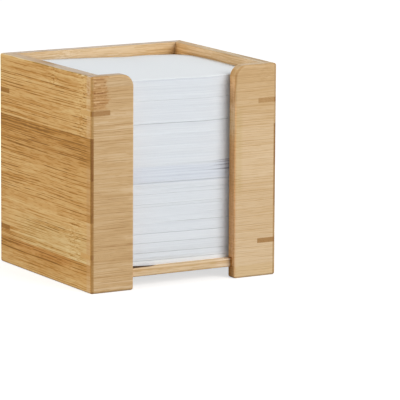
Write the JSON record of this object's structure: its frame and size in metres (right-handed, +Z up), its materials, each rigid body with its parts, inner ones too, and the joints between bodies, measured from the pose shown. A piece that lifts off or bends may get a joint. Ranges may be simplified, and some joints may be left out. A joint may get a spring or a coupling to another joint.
{
  "type": "memo pad holder",
  "caption": "Open-topped desk box of mitred pressed bamboo board, its front open down the middle between narrow posts, holding a block of loose white notes on a raised floor panel.",
  "frame": {"origin": "centre of the footprint, on the surface that the box stands on", "axes": "+Z up, +Y from the open front towards the back wall, +X to the right seen from the front"},
  "size_m": [0.103, 0.0946, 0.105],
  "materials": {
    "wall_bamboo": "clear satin lacquer over plain-pressed bamboo",
    "post_bamboo": "clear satin lacquer over plain-pressed bamboo, a paler batch",
    "floor_bamboo": "clear satin lacquer over plain-pressed bamboo",
    "key_wood": "darker bamboo, cut flush and lacquered with the corner",
    "note_paper": "uncoated white writing paper, edges guillotined"
  },
  "bodies": {
    "holder": {"back_stave_1": "wall_bamboo", "back_stave_2": "wall_bamboo", "back_stave_3": "wall_bamboo", "back_stave_4": "wall_bamboo", "back_stave_5": "wall_bamboo", "back_stave_6": "wall_bamboo", "corner_key_back_left_lower": "key_wood", "corner_key_back_left_upper": "key_wood", "corner_key_back_right_lower": "key_wood", "corner_key_back_right_upper": "key_wood", "corner_key_front_left_lower": "key_wood", "corner_key_front_left_upper": "key_wood", "corner_key_front_right_lower": "key_wood", "corner_key_front_right_upper": "key_wood", "floor_stave_1": "floor_bamboo", "floor_stave_2": "floor_bamboo", "floor_stave_3": "floor_bamboo", "floor_stave_4": "floor_bamboo", "floor_stave_5": "floor_bamboo", "left_front_post_stave_1": "post_bamboo", "left_front_post_stave_2": "post_bamboo", "left_front_post_stave_3": "post_bamboo", "left_front_post_stave_4": "post_bamboo", "left_front_post_stave_5": "post_bamboo", "left_front_post_stave_6": "post_bamboo", "left_side_stave_1": "wall_bamboo", "left_side_stave_2": "wall_bamboo", "left_side_stave_3": "wall_bamboo", "left_side_stave_4": "wall_bamboo", "left_side_stave_5": "wall_bamboo", "left_side_stave_6": "wall_bamboo", "right_front_post_stave_1": "post_bamboo", "right_front_post_stave_2": "post_bamboo", "right_front_post_stave_3": "post_bamboo", "right_front_post_stave_4": "post_bamboo", "right_front_post_stave_5": "post_bamboo", "right_front_post_stave_6": "post_bamboo", "right_side_stave_1": "wall_bamboo", "right_side_stave_2": "wall_bamboo", "right_side_stave_3": "wall_bamboo", "right_side_stave_4": "wall_bamboo", "right_side_stave_5": "wall_bamboo", "right_side_stave_6": "wall_bamboo"},
    "lower_notes": {"note_packet_01": "note_paper", "note_packet_02": "note_paper", "note_packet_03": "note_paper", "note_packet_04": "note_paper", "note_packet_05": "note_paper"},
    "upper_notes": {"note_packet_06": "note_paper", "note_packet_07": "note_paper", "note_packet_08": "note_paper", "note_packet_09": "note_paper", "note_packet_10": "note_paper"},
    "top_note": {"top_note": "note_paper"}
  },
  "joints": [
    {"name": "note_block_lift", "type": "slide", "parent": "holder", "child": "lower_notes", "axis": [0, 0, 1], "range_m": [0, 0.1]},
    {"name": "upper_notes_lift", "type": "slide", "parent": "lower_notes", "child": "upper_notes", "axis": [0, 0, 1], "range_m": [0, 0.055]},
    {"name": "top_note_lift", "type": "slide", "parent": "upper_notes", "child": "top_note", "axis": [0, 0, 1], "range_m": [0, 0.03]}
  ]
}
